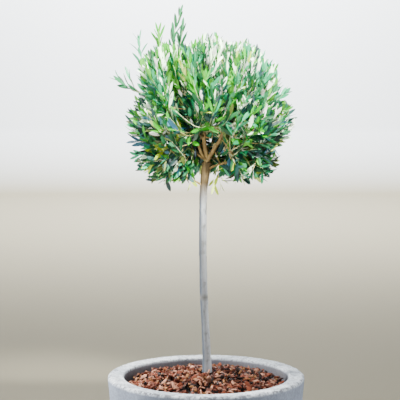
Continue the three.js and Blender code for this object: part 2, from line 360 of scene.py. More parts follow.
def chip_material(name, colour):
    shader = Shader(name, colour, 0.78, specular=0.3)
    shades = shader.spread(shader.noise(120, 4, 0.6), 0.34, 0.66)
    dark, light = ((*(channel * gain for channel in colour[:3]), 1.0) for gain in (0.5, 1.35))
    shader.colour(shader.blend(shades, dark, light))
    fibres = shader.noise(260, 5, 0.65, stretch=(1, 0.35, 1))
    shader.bump(fibres, 0.7, 0.0012)
    return shader.material


def bed_material():
    shader = Shader("mulch_bed", rgb(48, 30, 20), 0.95, specular=0.2)
    crumbs = shader.spread(shader.noise(140, 5, 0.65), 0.35, 0.65)
    # The bed's near-black tone is partly fine dark mulch, partly painted shade between the chips.
    shader.colour(shader.blend(crumbs, rgb(9, 5, 4), rgb(34, 20, 14)))
    shader.bump(crumbs, 0.8, 0.003)
    return shader.material


# ---- Mesh helpers ----


def add_object(name, vertices, faces, materials, material_of_face=None, sharp=None):
    """A smooth mesh in the scene, with creases where its faces meet at more than the sharp angle."""
    mesh = bpy.data.meshes.new(name)
    mesh.from_pydata(np.asarray(vertices).tolist(), [], faces)
    for material in materials:
        mesh.materials.append(material)
    if material_of_face is not None:
        mesh.polygons.foreach_set("material_index", np.asarray(material_of_face, dtype=np.int32))
    mesh.polygons.foreach_set("use_smooth", np.full(len(mesh.polygons), True))
    if sharp is not None:
        mesh.set_sharp_from_angle(angle=math.radians(sharp))
    mesh.update()
    piece = bpy.data.objects.new(name, mesh)
    bpy.context.scene.collection.objects.link(piece)
    return piece


def band(low, high, sides):
    """Four-cornered faces between two rings of vertices, each given by its first vertex."""
    return [[low + i, low + (i + 1) % sides, high + (i + 1) % sides, high + i] for i in range(sides)]


def between(first, second, start, end, at):
    """The mix, at a moment, of a point that rules at the start and one that rules at the end."""
    return (end - at) / (end - start) * first + (at - start) / (end - start) * second


def smooth_curve(points, spacing):
    """Points at an even spacing along a centripetal Catmull-Rom curve."""
    points = [np.array(p, dtype=float) for p in points]
    points = [2 * points[0] - points[1], *points, 2 * points[-1] - points[-2]]
    dense = []
    for p0, p1, p2, p3 in zip(points, points[1:], points[2:], points[3:]):
        gaps = [max(np.linalg.norm(b - a), 1e-6) ** 0.5 for a, b in ((p0, p1), (p1, p2), (p2, p3))]
        t0, t1, t2, t3 = np.cumsum([0.0, *gaps])
        for t in np.linspace(t1, t2, 24, endpoint=False):
            a1 = between(p0, p1, t0, t1, t)
            a2 = between(p1, p2, t1, t2, t)
            a3 = between(p2, p3, t2, t3, t)
            b1 = between(a1, a2, t0, t2, t)
            b2 = between(a2, a3, t1, t3, t)
            dense.append(between(b1, b2, t1, t2, t))
    dense.append(points[-2])
    return even_spacing(np.array(dense), spacing)


def even_spacing(points, spacing):
    lengths = path_lengths(points)
    count = max(2, int(round(lengths[-1] / spacing)) + 1)
    wanted = np.linspace(0, lengths[-1], count)
    return np.stack([np.interp(wanted, lengths, points[:, axis]) for axis in range(3)], axis=1)


def path_lengths(points):
    """How far along the path each point is."""
    return np.concatenate([[0], np.cumsum(np.linalg.norm(np.diff(points, axis=0), axis=1))])


def swing(start, bend, end, count):
    """Points of a curve that sets off towards the bend and comes round to the end."""
    shares = np.linspace(0, 1, count)[:, None]
    return (1 - shares) ** 2 * start + 2 * shares * (1 - shares) * bend + shares ** 2 * end


def tube(points, radii, sides, relief=None):
    """Vertices and faces of a closed tube round the points.

    relief(point, angle) says how much to add to the radius there.
    """
    points = np.asarray(points, dtype=float)
    tangents = np.gradient(points, axis=0)
    tangents /= np.linalg.norm(tangents, axis=1, keepdims=True) + 1e-12
    guide = np.array([0.0, -1.0, 0.0]) if abs(tangents[0][1]) < 0.9 else np.array([1.0, 0.0, 0.0])
    angles = np.arange(sides) * 2 * math.pi / sides
    rings = []
    for centre, tangent, radius in zip(points, tangents, radii):
        guide = guide - tangent * np.dot(guide, tangent)
        guide /= np.linalg.norm(guide)
        across = np.cross(tangent, guide)
        outward = np.outer(np.cos(angles), guide) + np.outer(np.sin(angles), across)
        reach = np.full(sides, radius)
        if relief is not None:
            reach = reach + np.array([relief(centre + radius * d, a) for d, a in zip(outward, angles)])
        rings.append(centre + outward * reach[:, None])
    last = (len(points) - 1) * sides
    faces = [face for low in range(0, last, sides) for face in band(low, low + sides, sides)]
    faces.append(list(reversed(range(sides))))
    faces.append(list(range(last, last + sides)))
    return np.concatenate(rings), faces


class Bundle:
    """Many small closed shapes gathered into one mesh."""

    def __init__(self):
        self.vertices = []
        self.faces = []
        self.kinds = []
        self.count = 0

    def add(self, vertices, faces, kind=0):
        self.vertices.append(vertices)
        self.faces.extend([[i + self.count for i in face] for face in faces])
        self.kinds.extend([kind] * len(faces))
        self.count += len(vertices)

    def build(self, name, materials, **options):
        vertices = np.concatenate(self.vertices)
        return add_object(name, vertices, self.faces, materials, self.kinds, **options)


# ---- Stage ----


def add_camera():
    camera = bpy.data.objects.new("camera", bpy.data.cameras.new("camera"))
    camera.data.sensor_width = 36.0
    camera.data.lens = 153.4
    camera.location = (-0.017, -4.600, 1.4865)
    camera.rotation_euler = (math.radians(90 - 6.733), 0.0, 0.0)
    bpy.context.scene.collection.objects.link(camera)
    bpy.context.scene.camera = camera


def add_stage():
    """A wide pale floor that curves up into a paler wall a long way behind."""
    half_width, front, wall, top, bend = 30.0, -30.0, 8.6, 7.0, 0.5
    profile = [(front, 0.0), (wall - bend, 0.0)]
    profile += [
        (wall - bend + bend * math.sin(a), bend - bend * math.cos(a))
        for a in np.linspace(0, math.pi / 2, 12)[1:]
    ]
    profile.append((wall, top))
    vertices = [(side * half_width, y, z) for y, z in profile for side in (-1, 1)]
    faces = [[2 * i, 2 * i + 1, 2 * i + 3, 2 * i + 2] for i in range(len(profile) - 1)]
    pale, paler = rgb(134, 127, 108), rgb(238, 241, 245)
    floor = Shader("stage_floor", pale, 0.9, specular=0.1)
    floor.colour(floor.blend(floor.height(0.02, 0.45), pale, paler))
    add_object("stage_floor", vertices, faces, [floor.material])


def add_light(name, kind, place, target, power, colour):
    light = bpy.data.objects.new(name, bpy.data.lights.new(name, kind))
    light.data.energy = power
    light.data.color = colour
    light.location = place
    light.rotation_euler = (Vector(target) - Vector(place)).to_track_quat("-Z", "Y").to_euler()
    light.visible_camera = False
    bpy.context.scene.collection.objects.link(light)
    return light.data


def add_area_light(name, place, target, size, power, colour):
    light = add_light(name, "AREA", place, target, power, colour)
    light.shape = "DISK"
    light.size = size


def add_spot_light(name, place, target, angle, size, power, colour):
    light = add_light(name, "SPOT", place, target, power, colour)
    light.spot_size = math.radians(angle)
    light.spot_blend = 0.6
    light.shadow_soft_size = size


def add_lights():
    """A pale sky, broad soft lights round the plant, and narrower ones on its head, stem and planter."""
    world = bpy.data.worlds.new("soft_sky")
    world.use_nodes = True
    background = world.node_tree.nodes["Background"]
    background.inputs["Color"].default_value = (0.92, 0.96, 1.0, 1.0)
    background.inputs["Strength"].default_value = 0.53
    bpy.context.scene.world = world
    head = (0.0, 0.0, 1.22)
    add_spot_light("head_key", (0.55, -1.7, 2.7), (0.0, 0.0, 1.26), 17, 0.06, 1850, (0.98, 1.0, 0.93))
    add_spot_light("head_low", (-0.55, -2.2, 0.70), (0.0, 0.0, 1.12), 15, 0.30, 430, (1.0, 0.96, 0.93))
    add_spot_light("stem_low", (0.9, -2.4, 0.9), (0.0, 0.0, 0.68), 10, 0.10, 70, (1.0, 1.0, 1.0))
    add_spot_light("head_top", (-0.3, -0.1, 3.2), head, 15, 0.18, 800, (0.97, 1.0, 0.98))
    add_spot_light("pot_key", (-1.7, 0.0, 1.9), (0.0, 0.0, 0.43), 18, 0.07, 365, (1.0, 0.99, 0.96))
    add_area_light("top", (-0.6, -0.4, 3.0), (0.0, 0.0, 0.5), 1.6, 45, (0.98, 1.0, 1.0))
    add_area_light("back", (-0.9, 1.8, 2.2), head, 1.2, 40, (0.97, 1.0, 1.0))
    add_area_light("left_fill", (-2.3, -0.1, 0.9), (0.0, 0.0, 0.55), 1.2, 112, (0.93, 0.97, 1.0))
    add_area_light("right_fill", (2.2, -0.5, 0.7), (0.0, 0.0, 0.5), 1.2, 62, (0.95, 0.98, 1.0))
    add_area_light("backdrop", (0.0, 6.4, 4.4), (0.0, 8.6, 1.8), 3.0, 1500, (0.95, 0.98, 1.0))


# ---- Planter ----


def arc(x, z, radius, start, end, steps):
    """Points on a circle round (x, z), from one angle in degrees to another."""
    angles = np.radians(np.linspace(start, end, steps + 1))
    return [(x + radius * math.cos(a), z + radius * math.sin(a)) for a in angles]


def planter_profile():
    """The planter's section, from the middle of its underside round to the middle of its inner floor."""
    top = PLANTER_HEIGHT
    step_top = top - COLLAR_HEIGHT
    collar_foot = RIM_RADIUS - COLLAR_HEIGHT * math.tan(COLLAR_TAPER)
    body_top = collar_foot - COLLAR_STEP
    foot = body_top - step_top * math.tan(BODY_TAPER)
    inner_top = RIM_RADIUS - RIM_WIDTH
    inner_foot = inner_top - (top - FLOOR_THICKNESS) * math.tan(BODY_TAPER)
    outer_round, inner_round, foot_round, step_round = 0.008, 0.006, 0.007, 0.005

    def straight(start, end, steps):
        return [tuple(p) for p in np.linspace(start, end, steps + 1)[1:-1]]

    underside = [
        (0.0, 0.0),
        *straight((0, 0), (foot - foot_round, 0), 5),
        *arc(foot - foot_round, foot_round, foot_round, -90, 0, 3),
    ]
    body = straight(underside[-1], (body_top, step_top - 0.008), 26)
    step = [
        (body_top, step_top - 0.008),
        (body_top + 0.005, step_top - 0.004),
        *arc(collar_foot - step_round, step_top + step_round, step_round, -90, 0, 4),
    ]
    rim_outer = arc(RIM_RADIUS - outer_round, top - outer_round, outer_round, 4, 90, 9)
    collar = straight(step[-1], rim_outer[0], 30)
    rim_inner = arc(inner_top + inner_round, top - inner_round - 0.001, inner_round, 90, 184, 5)
    rim_top = straight(rim_outer[-1], rim_inner[0], 8)
    floor_edge, floor_middle = (inner_foot, FLOOR_THICKNESS), (0.0, FLOOR_THICKNESS)
    inside = straight(rim_inner[-1], floor_edge, 14)
    floor = [floor_edge, *straight(floor_edge, floor_middle, 4), floor_middle]
    return underside + body + step + collar + rim_outer + rim_top + rim_inner + inside + floor


def rim_chips(rng):
    """The broken spots along the rim's outer edge: (angle, half width, depth)."""
    return [
        (rng.uniform(0, 2 * math.pi), rng.uniform(*RIM_CHIP_WIDTHS), rng.uniform(*RIM_CHIP_DEPTHS))
        for _ in range(RIM_CHIPS)
    ]


# A bite shallower than this is none.
NO_BITE = 3e-17


def unevenness(spot, exposed):
    """How far the cast skin stands out at a spot: gentle waves, and pits where it is exposed."""
    waves = 0.0006 * noise.noise(spot * 9.0) + 0.00025 * noise.noise(spot * 60.0)
    if exposed:
        waves -= 0.0009 * max(0.0, noise.noise(spot * 150.0) - 0.38)
    return waves


def rim_bite(radius, z, angle, chips):
    """How far the chips of the rim's outer edge cut into the planter at a place."""
    from_edge = math.hypot(radius - (RIM_RADIUS - 0.004), z - (PLANTER_HEIGHT - 0.004))
    near_edge = math.exp(-(from_edge / 0.0045) ** 2)
    bite = 0.0
    if near_edge > 0.05:
        for place, half_width, depth in chips:
            apart = abs((angle - place + math.pi) % (2 * math.pi) - math.pi) * radius
            bite = max(bite, depth * math.exp(-(apart / half_width) ** 2))
    return 0.7 * bite * near_edge


def build_planter():
    chips = rim_chips(np.random.default_rng(PLANTER_SEED))
    profile = planter_profile()
    segments = 560
    vertices = [(0.0, 0.0, 0.0)]
    for radius, z in profile[1:-1]:
        exposed = z > MULCH_EDGE - 0.02 or radius > MULCH_RADIUS
        for angle in np.arange(segments) * 2 * math.pi / segments:
            spot = Vector((radius * math.cos(angle), radius * math.sin(angle), z))
            uneven = unevenness(spot, exposed)
            bite = rim_bite(radius, z, angle, chips)
            out = radius + uneven - bite
            sunk = bite
            if bite < NO_BITE and z > PLANTER_HEIGHT - 0.02:
                sunk = max(0.0, -uneven)
            vertices.append((out * math.cos(angle), out * math.sin(angle), z - sunk))
    middle, last = len(vertices), len(vertices) - segments
    vertices.append((0.0, 0.0, FLOOR_THICKNESS))
    faces = [face for low in range(1, last, segments) for face in band(low, low + segments, segments)]
    for i in range(segments):
        j = (i + 1) % segments
        faces.append([0, 1 + j, 1 + i])
        faces.append([last + i, last + j, middle])
    planter = add_object("planter_shell", vertices, faces, [concrete_material()], sharp=50)
    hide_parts("planter")
    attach(planter, "root")


# ---- Mulch ----


def mulch_height(radius):
    """The mulch's height above the floor at a distance from the planter's axis."""
    share = min(max((MULCH_RADIUS - radius) / (MULCH_RADIUS - MULCH_PLATEAU), 0.0), 1.0)
    eased = share * share * (3 - 2 * share)
    edge = MULCH_EDGE - SETTLED_EDGE
    return edge + (MULCH_TOP - edge) * eased


def build_mulch_bed():
    """A crumbly bed under the chips, dark as fine mulch and darker still with painted shade, closed below
    so that it is a solid layer.
    """
    rings, segments, drop = 26, 120, 0.03
    vertices = [(0.0, 0.0, MULCH_TOP - 0.012)]
    angles = [2 * math.pi * i / segments for i in range(segments)]
    for ring in range(1, rings + 1):
        radius = MULCH_RADIUS * ring / rings
        for angle in angles:
            spot = Vector((radius * math.cos(angle), radius * math.sin(angle), 0.0))
            z = mulch_height(radius) - BED_DROP + 0.003 * noise.noise(spot * 45.0)
            vertices.append((spot.x, spot.y, z))
    low_ring = len(vertices)
    for angle in angles:
        x, y = MULCH_RADIUS * math.cos(angle), MULCH_RADIUS * math.sin(angle)
        vertices.append((x, y, MULCH_EDGE - drop))
    faces = [[0, 1 + i, 1 + (i + 1) % segments] for i in range(segments)]
    for inner in range(1, low_ring, segments):
        faces.extend(band(inner + segments, inner, segments))
    faces.append([low_ring + i for i in reversed(range(segments))])
    bed = add_object("mulch_bed", vertices, faces, [bed_material()])
    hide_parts("bark_mulch")
    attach(bed, "root")


# Every colour of bark, and how much of it there is.
CHIP_COLOURS = {
    "chip_brown": (rgb(94, 46, 30), 0.26),
    "chip_rust": (rgb(122, 58, 34), 0.24),
    "chip_pale": (rgb(176, 122, 96), 0.20),
    "chip_ochre": (rgb(140, 92, 52), 0.11),
    "chip_dark": (rgb(36, 18, 11), 0.14),
    "chip_grey": (rgb(84, 64, 56), 0.05),
}


def chip_shape(rng):
    """An irregular splinter of bark: a bent slab with a ragged outline and worn edges."""
    corners = rng.integers(6, 9)
    length = rng.uniform(*CHIP_LENGTHS)
    width = length * rng.uniform(0.35, 0.70)
    thickness = rng.uniform(0.0022, 0.0058)
    angles = (np.arange(corners) + rng.uniform(-0.3, 0.3, corners)) * 2 * math.pi / corners
    reach = rng.uniform(0.72, 1.12, corners)
    outline = np.stack([np.cos(angles) * reach * length / 2, np.sin(angles) * reach * width / 2], axis=1)
    bend = rng.uniform(-0.35, 0.45) / length
    layers = []
    for share, inset in ((-0.5, 0.80), (-0.1, 1.0), (0.28, 0.97), (0.5, 0.74)):
        flat = outline * inset * rng.uniform(0.94, 1.06, (corners, 1))
        z = share * thickness + bend * flat[:, 0] ** 2 + rng.uniform(-0.1, 0.1, corners) * thickness
        layers.append(np.column_stack([flat, z]))
    middle_low = np.array([[0, 0, -0.5 * thickness]])
    middle_high = np.array([[0, 0, 0.5 * thickness + rng.uniform(0, 0.2) * thickness]])
    vertices = np.concatenate([*layers, middle_low, middle_high])
    faces = []
    for layer in range(3):
        faces.extend(band(layer * corners, (layer + 1) * corners, corners))
    low_middle, high_middle = 4 * corners, 4 * corners + 1
    for i in range(corners):
        j = (i + 1) % corners
        faces.append([i, low_middle, j])
        faces.append([3 * corners + i, 3 * corners + j, high_middle])
    return vertices, faces, length


def build_chips():
    """Loose chips in three layers. Those of the lowest are mostly dark, as painted shade under the chips
    above.
    """
    rng = np.random.default_rng(CHIPS_SEED)
    names = list(CHIP_COLOURS)
    weights = np.array([CHIP_COLOURS[name][1] for name in names])
    weights /= weights.sum()
    bundle = Bundle()
    for index in range(CHIP_TRIES):
        vertices, faces, length = chip_shape(rng)
        radius = (MULCH_RADIUS - length * 0.42) * math.sqrt(rng.uniform(0, 1))
        angle = rng.uniform(0, 2 * math.pi)
        spot = Vector((radius * math.cos(angle), radius * math.sin(angle), 0))
        from_stem = (spot - Vector((FOOT.x, FOOT.y, 0))).length
        if from_stem < 0.013 + length * 0.4:
            continue
        layer = (index % 3) / 2
        tilt = math.radians(rng.normal(0, 30))
        roll = math.radians(rng.normal(0, 36))
        lift = 0.004 * noise.noise(spot * 22.0)
        spot.z = mulch_height(radius) - BED_DROP + CHIP_LAYERS * layer + lift
        turn = Matrix.Rotation(rng.uniform(0, 2 * math.pi), 3, "Z")
        turn = turn @ Matrix.Rotation(tilt, 3, "X") @ Matrix.Rotation(roll, 3, "Y")
        placed = vertices @ np.array(turn).T + np.array(spot)
        kind = int(rng.choice(len(names), p=weights))
        # Painted shade: most chips of the lowest layer take the dark colour.
        if layer == 0 and rng.uniform() < 0.6:
            kind = names.index("chip_dark")
        bundle.add(placed, faces, kind)
    materials = [chip_material(name, CHIP_COLOURS[name][0]) for name in names]
    chips = bundle.build("mulch_chips", materials, sharp=32)
    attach(chips, "root")


# ---- Stem and boughs ----


def in_row(points):
    """Points given from the stem's foot, in the row's frame."""
    return [np.array(FOOT) + np.array(p, dtype=float) for p in points]


def stem_radius(share, angle):
    """The stem's radius at a share of its height: it flares at the foot and swells under the fork."""
    flare = math.exp(-share * 26) * (0.0030 + 0.0009 * math.cos(3 * angle + 0.6))
    rise = min(max((share - 0.84) / 0.13, 0.0), 1.0)
    swelling = 0.0026 * rise * rise * (3 - 2 * rise)
    return STEM_RADII[0] + (STEM_RADII[1] - STEM_RADII[0]) * share + flare + swelling


# Old leaf scars and knots: (height above the foot, angle, width, how far it stands out).
STEM_KNOTS = [
    (0.196, 2.4, 0.010, 0.0016), (0.126, 0.4, 0.008, -0.0012), (0.330, 4.2, 0.008, 0.0013),
    (0.452, 5.6, 0.007, 0.0015), (0.488, 1.2, 0.009, 0.0014), (0.060, 3.6, 0.009, 0.0011),
]


def bark_relief(spot, angle):
    place = Vector(spot)
    stretched = Vector((place.x, place.y, place.z * 0.22))
    relief = 0.0007 * noise.noise(stretched * 110.0) + 0.0004 * noise.noise(stretched * 320.0)
    relief += 0.0005 * noise.noise(place * 24.0)
    for height, turn, width, stand in STEM_KNOTS:
        up = (place.z - FOOT.z - height) / width
        round_stem = ((angle - turn + math.pi) % (2 * math.pi) - math.pi) * 0.010 / width
        relief += stand * math.exp(-(up * up + round_stem * round_stem))
    return relief


def build_stem():
    path = smooth_curve(in_row(STEM_PATH), 0.0022)
    shares = np.linspace(0, 1, len(path))
    radii = [stem_radius(share, 0.0) for share in shares]

    def relief(spot, angle):
        share = float(np.interp(spot[2], path[:, 2], shares))
        return bark_relief(spot, angle) + stem_radius(share, angle) - stem_radius(share, 0.0)

    vertices, faces = tube(path, radii, 28, relief)
    stem = add_object("stem", vertices, faces, [stem_material()], sharp=70)
    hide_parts("trunk")
    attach(stem, "root")


def bough_relief(spot, angle):
    place = Vector(spot)
    return 0.0005 * noise.noise(place * 90.0) + 0.0006 * noise.noise(place * 35.0)


def build_boughs():
    bundle = Bundle()
    for thick, thin, points in BOUGHS.values():
        path = smooth_curve(in_row(points), 0.003)
        radii = np.linspace(thick, thin * 0.8, len(path))
        bundle.add(*tube(path, radii, 14, bough_relief))
    boughs = bundle.build("boughs", [bough_material()], sharp=70)
    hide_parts(*BOUGH_NODES)
    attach(boughs, "root")


# ---- Shoots: where the leafy ones end and how they grow ----


# Centre and half size of every foliage mass.
MASS_LOWS, MASS_HIGHS = (np.array([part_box(name)[end] for name in FOLIAGE_NODES]) for end in (0, 1))
MASS_CENTRES = (MASS_LOWS + MASS_HIGHS) / 2
MASS_HALVES = (MASS_HIGHS - MASS_LOWS) / 2
HEAD_LOW = min(MASS_CENTRES[:, 2] - MASS_HALVES[:, 2])
HEAD_HIGH = max(MASS_CENTRES[:, 2] + MASS_HALVES[:, 2])
HEAD_MIDDLE = np.array([FOOT.x + 0.009, FOOT.y - 0.018, (HEAD_LOW + HEAD_HIGH) / 2])


def height_share(z):
    """0 at the foot of the head and 1 at its top."""
    return min(max((z - HEAD_LOW) / (HEAD_HIGH - HEAD_LOW), 0.0), 1.0)


def growth_direction(tip, rng, wander=0.24):
    """Shoots reach for the light: straight up at the top, outwards at the sides, a little down below."""
    outward = tip - HEAD_MIDDLE
    outward /= np.linalg.norm(outward) + 1e-9
    share = height_share(tip[2])
    lift = np.array([0, 0, 0.12 + 1.45 * share])
    spread = 1.0 - 0.35 * share
    direction = outward * spread + lift + rng.normal(0, wander, 3)
    return direction / np.linalg.norm(direction)


def head_depth(point):
    """0 in the middle of a mass and 1 on its surface, with the clefts between masses softly filled."""
    reach = np.sqrt(np.sum(((point - MASS_CENTRES) / MASS_HALVES) ** 2, axis=1))
    return float(-np.log(np.sum(np.exp(-CLEFT_FILL * reach))) / CLEFT_FILL)


def in_gap(point):
    """True in the openings of the head that show the fork and the dark inside."""
    from_foot = point - np.array(FOOT)
    return any(np.sum(((from_foot - centre) / half) ** 2) < 1 for centre, half in GAPS)


def past_shoulder(point, allowance):
    """True outside the slopes that round off the top of the head."""
    from_foot = point - np.array(FOOT)
    return any(np.dot(from_foot, facing) > distance + allowance for facing, distance in SHOULDERS)


def behind_gap(point):
    """The point itself, or the place straight behind the opening that it lies in."""
    for centre, half in GAPS:
        offset = (point - np.array(FOOT) - centre) / half
        if np.sum(offset ** 2) < 1:
            far_side = math.sqrt(1 - offset[0] ** 2 - offset[2] ** 2)
            return np.array([point[0], FOOT.y + centre[1] + half[1] * far_side, point[2]])
    return point


def least_distance(points, point):
    """The distance from a point to the nearest of some others."""
    return np.min(np.linalg.norm(np.array(points) - point, axis=1))


def scatter(rng, count, depths, spacing, others):
    """Random spots of the head between two depths, no two closer than the spacing."""
    low = np.min(MASS_CENTRES - MASS_HALVES, axis=0)
    high = np.max(MASS_CENTRES + MASS_HALVES, axis=0)
    spots = list(others)
    for _ in range(count):
        spot = rng.uniform(low, high)
        if not depths[0] < head_depth(spot) < depths[1] or in_gap(spot) or past_shoulder(spot, -0.012):
            continue
        if not spots or least_distance(spots, spot) >= spacing:
            spots.append(spot)
    return spots[len(others):]


def scatter_heart(rng, others):
    """Spots behind the fork, where the boughs part and short inner shoots fill the view."""
    spots = list(others)
    for _ in range(HEART_TRIES):
        offset = rng.uniform(-1, 1, 3)
        spot = np.array(FOOT) + np.array(HEART_CENTRE) + np.array(HEART_HALF) * offset
        if np.linalg.norm(offset) < 1 and least_distance(spots, spot) > HEART_SPACING:
            spots.append(spot)
    return spots[len(others):]


def new_shoot(tip, direction, length, inner=False, kind=None, leaf_size=1.0, sparse=1.0):
    """A shoot of a given kind of leaf, or None where its place decides, that ends at the tip."""
    return {
        "tip": tip, "base": tip - direction * length, "length": length,
        "inner": inner, "kind": kind, "leaf_size": leaf_size, "sparse": sparse,
    }


# Sprays that stand out: each one's tip from the stem's foot, its direction and length, the kind and size
# of its leaves, and how sparse they are.
LONE_SHOOTS = [
    ((-0.073, -0.030, 0.982), (0.33, -0.05, 1.0), 0.120, "green", 1.0, 2.0),
    ((-0.066, -0.036, 0.940), (0.14, -0.05, 1.0), 0.080, "green", 1.0, 1.2),
    ((-0.242, -0.024, 0.812), (-0.70, -0.05, 0.72), 0.070, "green", 1.0, 1.5),
    ((-0.208, -0.020, 0.816), (-0.20, 0.10, 1.0), 0.060, "mint", 1.0, 1.5),
    ((-0.182, -0.040, 0.910), (-0.05, -0.10, 1.0), 0.070, "mint", 1.0, 1.4),
    ((-0.130, -0.040, 0.926), (-0.05, -0.05, 1.0), 0.070, "fresh", 1.0, 1.4),
    ((-0.112, -0.080, 0.530), (-0.06, -0.10, -1.0), 0.030, "deep", 1.0, 2.0),
    ((-0.046, -0.050, 0.520), (-0.05, -0.15, -1.0), 0.040, "yellow", 0.78, 1.0),
    ((0.020, -0.050, 0.522), (0.15, -0.15, -1.0), 0.035, "yellow", 0.78, 1.0),
    ((0.036, -0.040, 0.530), (0.35, -0.15, -1.0), 0.035, "yellow", 0.78, 1.2),
    ((0.130, -0.070, 0.548), (0.75, -0.15, -0.35), 0.060, "yellow", 0.78, 0.9),
    ((-0.048, -0.165, 0.812), (-0.62, -0.20, 0.86), 0.086, "fresh", 1.0, 0.9),
    ((0.042, -0.165, 0.796), (0.52, -0.20, 0.86), 0.060, "mint", 1.0, 0.9),
    ((-0.188, -0.060, 0.645), (-1.00, -0.15, 0.10), 0.070, "blue", 1.0, 1.2),
    ((-0.184, -0.050, 0.606), (-1.00, -0.10, -0.05), 0.070, "mint", 1.0, 1.2),
    ((-0.166, -0.060, 0.572), (-0.90, -0.10, -0.35), 0.060, "deep", 1.0, 1.2),
    ((0.206, -0.030, 0.770), (0.80, -0.10, 0.60), 0.070, "mint", 1.0, 1.1),
    ((0.212, -0.040, 0.728), (0.90, -0.10, 0.40), 0.070, "fresh", 1.0, 1.1),
    ((-0.140, -0.170, 0.690), (-0.95, -0.25, 0.35), 0.120, "olive", 1.0, 2.0),
    ((-0.085, -0.195, 0.738), (-0.70, -0.20, 0.70), 0.110, "fresh", 1.0, 1.8),
    ((0.090, -0.180, 0.705), (0.60, -0.30, 0.80), 0.100, "mint", 1.0, 2.0),
    ((0.140, -0.150, 0.668), (0.85, -0.30, 0.45), 0.110, "green", 1.0, 2.0),
]


def lone_shoots():
    """The sprays that stand out, as shoots."""
    shoots = []
    for tip, direction, length, kind, leaf_size, sparse in LONE_SHOOTS:
        tip = np.array(FOOT) + np.array(tip)
        direction = np.array(direction) / np.linalg.norm(direction)
        shoots.append(new_shoot(tip, direction, length, False, kind, leaf_size, sparse))
    return shoots


def grown_shoots(tips, lengths, inner, rng):
    """A shoot for every tip, of a random length between two."""
    shoots = []
    for tip in tips:
        length = rng.uniform(*lengths)
        shoots.append(new_shoot(tip, growth_direction(tip, rng), length, inner))
    return shoots


def scatter_shoots(rng):
    """Leafy shoots all over the head's outside, and fewer ones inside it, whose darker leaves are partly
    painted shade.
    """
    outer = scatter(rng, *OUTER_SHOOTS, [])
    inner = scatter(rng, *INNER_SHOOTS, outer)
    heart = scatter_heart(rng, outer + inner)
    shoots = lone_shoots()
    shoots += grown_shoots(outer, OUTER_LENGTHS, False, rng)
    shoots += grown_shoots(inner, INNER_LENGTHS, True, rng)
    shoots += grown_shoots(heart, HEART_LENGTHS, True, rng)
    return shoots


# ---- Twigs: boughs part into branches, branches into twigs and twigs into shoots ----


def gather(points, count, rng):
    """The points sorted into groups that lie together: the groups' middles, and each point's group."""
    middles = points[rng.choice(len(points), count, replace=False)]
    for _ in range(12):
        group = np.argmin(np.linalg.norm(points[:, None] - middles[None], axis=2), axis=1)
        for i in range(count):
            if np.any(group == i):
                middles[i] = points[group == i].mean(axis=0)
    return middles, group


class Limb:
    """A tapering path that younger limbs leave, beyond a bare share at its foot."""

    def __init__(self, path, thick, thin, bare):
        self.path = path
        self.radii = np.linspace(thick, thin, len(path))
        self.bare = min(int(bare * len(path)), len(path) - 2)
        self.tangents = np.gradient(path, axis=0)
        self.tangents /= np.linalg.norm(self.tangents, axis=1, keepdims=True) + 1e-9

    def distance(self, point):
        return least_distance(self.path[self.bare:], point)

    def leave_for(self, point, early):
        """Where a younger limb leaves for a point: before the nearest place, so as to part at an angle."""
        away = np.linalg.norm(self.path - point, axis=1)
        nearest = int(np.argmin(away))
        return max(self.bare, nearest - int(early * away[nearest] / TWIG_STEP))

    def grow(self, end, thin, shoots, bare):
        """A younger limb that leaves this one, swings round towards an end and feeds some shoots."""
        at = self.leave_for(end, 0.5)
        start = self.path[at]
        reach = np.linalg.norm(end - start)
        bend = start + self.tangents[at] * reach * 0.45
        path = swing(start, bend, end, max(4, int(reach / TWIG_STEP)))
        path[2:] = [behind_gap(point) for point in path[2:]]
        path[1:-1] = 0.5 * path[1:-1] + 0.25 * (path[:-2] + path[2:])
        thick = min(TWIG_TIP_RADIUS * max(shoots, 1) ** (1 / PIPE_POWER), self.radii[at] * 0.85)
        return Limb(even_spacing(path, TWIG_STEP), thick, min(thin, thick), bare)


def nearest_limb(limbs, point):
    return limbs[int(np.argmin([limb.distance(point) for limb in limbs]))]


TWIG_COLOURS = {
    "twig_gold": rgb(190, 166, 106),
    "twig_tan": rgb(156, 132, 98),
    "twig_green": rgb(186, 194, 146),
}


def bough_limbs():
    """The boughs as limbs that branches can leave."""
    boughs = []
    for thick, thin, points in BOUGHS.values():
        path = smooth_curve(in_row(points), TWIG_STEP)
        bare = BARE_BOUGH / (TWIG_STEP * len(path))
        boughs.append(Limb(path, thick, thin * 0.8, bare))
    return boughs


def grow_limbs(boughs, bases, rng):
    """Branches, twigs, and the number of the twig that each shoot's base belongs to."""
    twig_ends, twig_of_shoot = gather(bases, TWIG_COUNT, rng)
    branch_ends, branch_of_twig = gather(twig_ends, BRANCH_COUNT, rng)
    shoots_of_twig = np.bincount(twig_of_shoot, minlength=TWIG_COUNT)
    branches, twigs = [], []
    for i, end in enumerate(branch_ends):
        load = shoots_of_twig[branch_of_twig == i].sum()
        parent = nearest_limb(boughs, end)
        branches.append(parent.grow(end, TWIG_TIP_RADIUS * 1.6, load, 0.4))
    for i, end in enumerate(twig_ends):
        parent = branches[branch_of_twig[i]]
        twigs.append(parent.grow(end, TWIG_TIP_RADIUS * 1.2, shoots_of_twig[i], 0.2))
    return branches, twigs, twig_of_shoot


